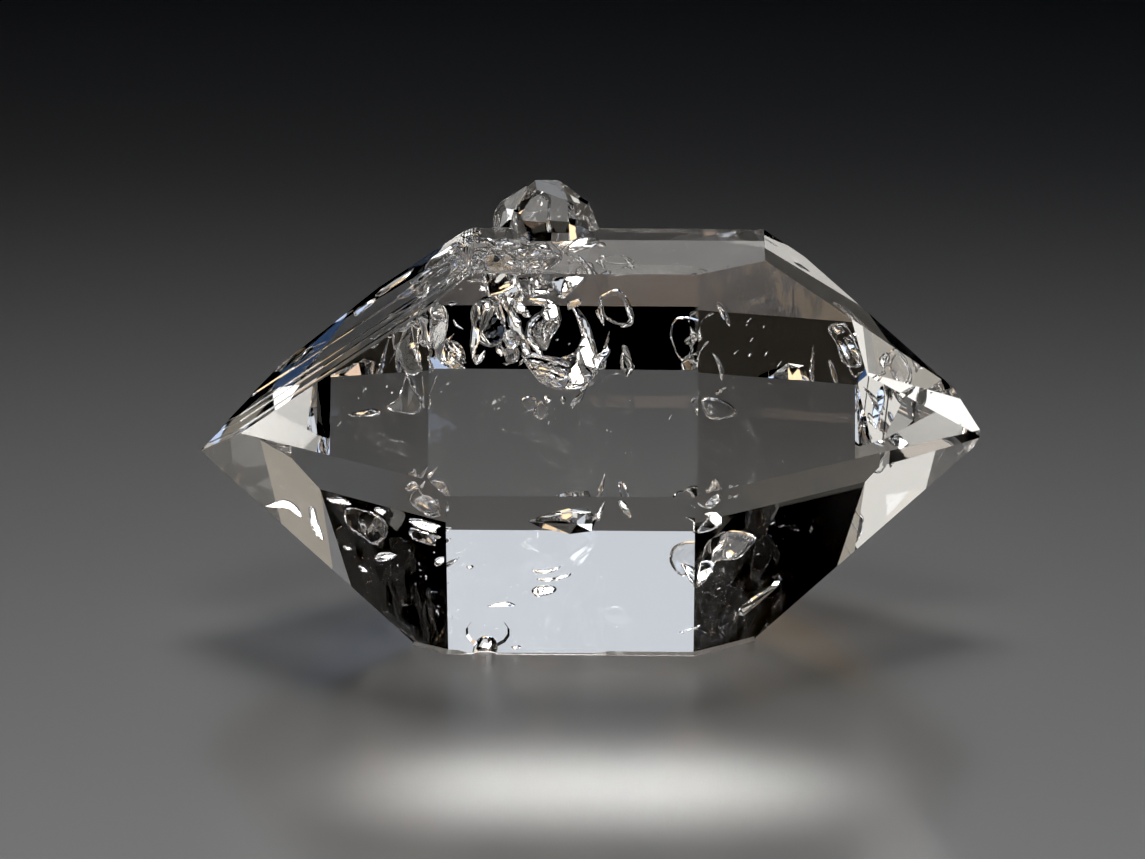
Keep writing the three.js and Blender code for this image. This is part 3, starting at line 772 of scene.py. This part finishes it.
def painted_highlight_white():
    """Near-white with a soft glassy sheen: the painted highlight of the bright line at the crystal's foot.
    """
    material = new_material("painted_highlight_white")
    shader = add_node(material, "ShaderNodeBsdfPrincipled", {
        # Near-white, so the wedge prints as the bright line of light at the foot: a painted highlight.
        "Base Color": (*linear("F6F3EE"), 1),
        "Roughness": 0.28,
        "IOR": QUARTZ_INDEX,
    })
    return finish_material(material, shader)


def add_highlight_wedge(mesh, stations, skin, draw):
    """A white wedge: its back against the crystal's face and its toe on the table."""
    rings = []
    for (x, y, height), (next_x, next_y, next_height) in zip(stations, stations[1:]):
        start = Vector((x, y, 0))
        way = Vector((next_x, next_y, 0)) - start
        outwards = way.cross(Vector((0, 0, 1))).normalized()
        steps = int(way.length / HIGHLIGHT_WEDGE_STEP) + 1
        for step in range(steps + 1):
            tall = height + (next_height - height) * step / steps
            tall *= draw.uniform(1 - HIGHLIGHT_WEDGE_UNEVENNESS, 1)
            foot = start + way * step / steps + outwards * HIGHLIGHT_WEDGE_GAP
            toe = foot + outwards * tall * HIGHLIGHT_WEDGE_TOE
            hit = skin.ray_cast((foot + outwards + Vector((0, 0, tall))) * MM, -outwards)[0]
            crest = hit + outwards * HIGHLIGHT_WEDGE_GAP * MM
            rings.append([mesh.verts.new(corner) for corner in (foot * MM, toe * MM, crest)])
    for ring, after in zip(rings, rings[1:]):
        for corner in range(3):
            beside = (corner + 1) % 3
            mesh.faces.new((ring[corner], after[corner], after[beside], ring[beside]))
    mesh.faces.new(rings[0])
    mesh.faces.new(reversed(rings[-1]))


def painted_highlight_line():
    corners = [crystal.matrix_world @ vertex.co for vertex in crystal.data.vertices]
    skin = BVHTree.FromPolygons(corners, [face.vertices for face in crystal.data.polygons])
    draw = random.Random(HIGHLIGHT_WEDGE_SEED)
    mesh = bmesh.new()
    for stations in HIGHLIGHT_LINES:
        add_highlight_wedge(mesh, stations, skin, draw)
    bmesh.ops.remove_doubles(mesh, verts=mesh.verts, dist=HIGHLIGHT_WEDGE_WELD * MM)
    bmesh.ops.recalc_face_normals(mesh, faces=mesh.faces)
    data = bpy.data.meshes.new("painted_highlight_line")
    mesh.to_mesh(data)
    mesh.free()
    data.materials.append(painted_highlight_white())
    piece = bpy.data.objects.new("painted_highlight_line", data)
    bpy.context.scene.collection.objects.link(piece)
    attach(piece, "root")


painted_highlight_line()

# The table: a plain grey board under the crystal, painted satin, so it shows the lights only as a
# soft sheen.
FLOOR_SIZE = 3000 * MM
FLOOR_GAP = 0.02 * MM


def satin_board():
    """Painted board: grey, with a sheen that blurs what it mirrors."""
    material = new_material("satin_grey_board")
    shader = add_node(material, "ShaderNodeBsdfPrincipled", {
        "Base Color": (*linear("8A8A8A"), 1),
        "Roughness": 0.25,
        "Specular IOR Level": 0.36,
    })
    return finish_material(material, shader)


def make_floor():
    mesh = bpy.data.meshes.new("floor")
    half = FLOOR_SIZE / 2
    corners = [(-half, -half, 0), (half, -half, 0), (half, half, 0), (-half, half, 0)]
    mesh.from_pydata(corners, [], [(0, 1, 2, 3)])
    mesh.materials.append(satin_board())
    floor = bpy.data.objects.new("floor", mesh)
    floor.location.z = -FLOOR_GAP
    bpy.context.scene.collection.objects.link(floor)


make_floor()

# The lights: gridded boxes over the table, one of them small and narrow for the glow in front, and
# soft boxes and cards round the crystal, flagged so that only the gridded ones light the table.
MIDDLE = Vector((0, 0, 6.3 * MM))
CARD_DISTANCE = 400 * MM


def towards(azimuth, elevation):
    """Azimuth 0 is behind the crystal, 90 is on its right; elevation is up from level."""
    a, e = math.radians(azimuth), math.radians(elevation)
    return Vector((math.sin(a) * math.cos(e), math.cos(a) * math.cos(e), math.sin(e)))


def area_light(name, width, height, radiance, tint):
    data = bpy.data.lights.new(name, "AREA")
    data.shape = "RECTANGLE"
    data.size = width
    data.size_y = height
    data.energy = radiance * math.pi * width * height
    data.color = linear(tint)
    light = bpy.data.objects.new(name, data)
    light.rotation_mode = "QUATERNION"
    bpy.context.scene.collection.objects.link(light)
    return light


def table_light(name, place, aim, spread, radiance, size=(60, 60)):
    """A gridded soft box over the table, from a place to a point on the table, in millimetres."""
    light = area_light(name, size[0] * MM, size[1] * MM, radiance, "FFFDFA")
    light.data.spread = math.radians(spread)
    light.location = Vector(place) * MM
    light.rotation_quaternion = (Vector(place) - Vector(aim)).to_track_quat("Z", "Y")
    light.visible_transmission = False
    light.visible_glossy = False


def card(name, azimuth, elevation, width, height, radiance, tint):
    """A rectangle of light that faces the crystal, its width and height given as angles."""
    size = [2 * CARD_DISTANCE * math.tan(math.radians(angle / 2)) for angle in (width, height)]
    light = area_light(name, *size, radiance, tint)
    direction = towards(azimuth, elevation)
    light.location = MIDDLE + direction * CARD_DISTANCE
    light.rotation_quaternion = direction.to_track_quat("Z", "Y")
    light.visible_diffuse = False


table_light("table_softbox", (0, -60, 120), (0, -60, 0), 110, 1.4)
table_light("table_back_softbox", (0, 80, 160), (0, -140, 0), 90, 5.2)
table_light("table_glow", (0.6, -18, 70), (0.6, -17.9, 0), 8, 3.3, size=(12, 5))
card("back_softbox", 0, 25, 30, 14, 0.77, "F0F6FF")
card("back_high_card", -10, 37, 22, 10, 0.8, "FFFCF6")
card("top_back_softbox", 0, 58, 24, 36, 4.5, "FFFDFA")
card("top_left_softbox", -60, 64, 54, 30, 1.7, "FFDDB0")
card("top_right_softbox", 60, 64, 54, 30, 1.5, "CCDEFF")
card("top_front_card", 180, 70, 22, 20, 1.0, "FFDDC2")
card("left_low_card", -110, 5, 40, 10, 0.78, "FFFCF6")
card("left_back_card", -120, 21, 18, 22, 1.2, "FFFCF6")
card("front_left_card", -142, 20, 18, 20, 0.42, "FFF8EC")
card("front_left_low_card", -141, 5, 20, 10, 0.9, "FFFCF6")
card("front_left_strip", -161, 12, 14, 8, 24, "FFFCF6")
card("front_right_strip", 160, 14, 14, 12, 10, "FFFCF6")
card("right_card", 113, 16, 34, 26, 0.36, "FFF4E4")
card("front_card", 180, 25, 20, 14, 0.4, "FFFFFF")
card("blue_card", -135, 52, 20, 12, 0.2, "85B5FF")
card("high_left_card", -148, 43, 26, 12, 0.025, "FFF4E4")
card("high_right_card", 149, 43, 26, 12, 0.022, "FFF4E4")


def dark_room():
    world = bpy.data.worlds.new("dark_room")
    world.use_nodes = True
    back = world.node_tree.nodes["Background"]
    back.inputs["Color"].default_value = (*linear("030303"), 1)
    back.inputs["Strength"].default_value = 1.0
    bpy.context.scene.world = world


dark_room()

# The camera: as in the photograph, a long lens a little above the crystal.
SENSOR_WIDTH = 36
IMAGE_WIDTH = 1145
PIXEL = 0.032 * MM
CAMERA_AZIMUTH = -0.616
CAMERA_ELEVATION = 14.737
CAMERA_ROLL = 0.2145
CAMERA_DISTANCE = 256.09 * MM
CAMERA_TARGET = Vector((-0.5045, -3.3903, 7.4586)) * MM
# Light fainter than this prints as black.
BLACK_POINT = 0.010


def make_camera():
    data = bpy.data.cameras.new("camera")
    data.sensor_width = SENSOR_WIDTH
    data.lens = data.sensor_width * CAMERA_DISTANCE / (IMAGE_WIDTH * PIXEL)
    data.clip_start = 0.01
    data.clip_end = 20
    camera = bpy.data.objects.new("camera", data)
    forward = towards(CAMERA_AZIMUTH, -CAMERA_ELEVATION)
    camera.location = CAMERA_TARGET - forward * CAMERA_DISTANCE
    camera.rotation_mode = "QUATERNION"
    roll = Matrix.Rotation(math.radians(CAMERA_ROLL), 4, "Z").to_quaternion()
    camera.rotation_quaternion = (-forward).to_track_quat("Z", "Y") @ roll
    bpy.context.scene.collection.objects.link(camera)
    bpy.context.scene.camera = camera


make_camera()

scene = bpy.context.scene
scene.view_settings.view_transform = "Standard"
scene.view_settings.use_curve_mapping = True
scene.view_settings.curve_mapping.black_level = (BLACK_POINT, BLACK_POINT, BLACK_POINT)
scene.cycles.max_bounces = 32
scene.cycles.transmission_bounces = 32
scene.cycles.glossy_bounces = 16
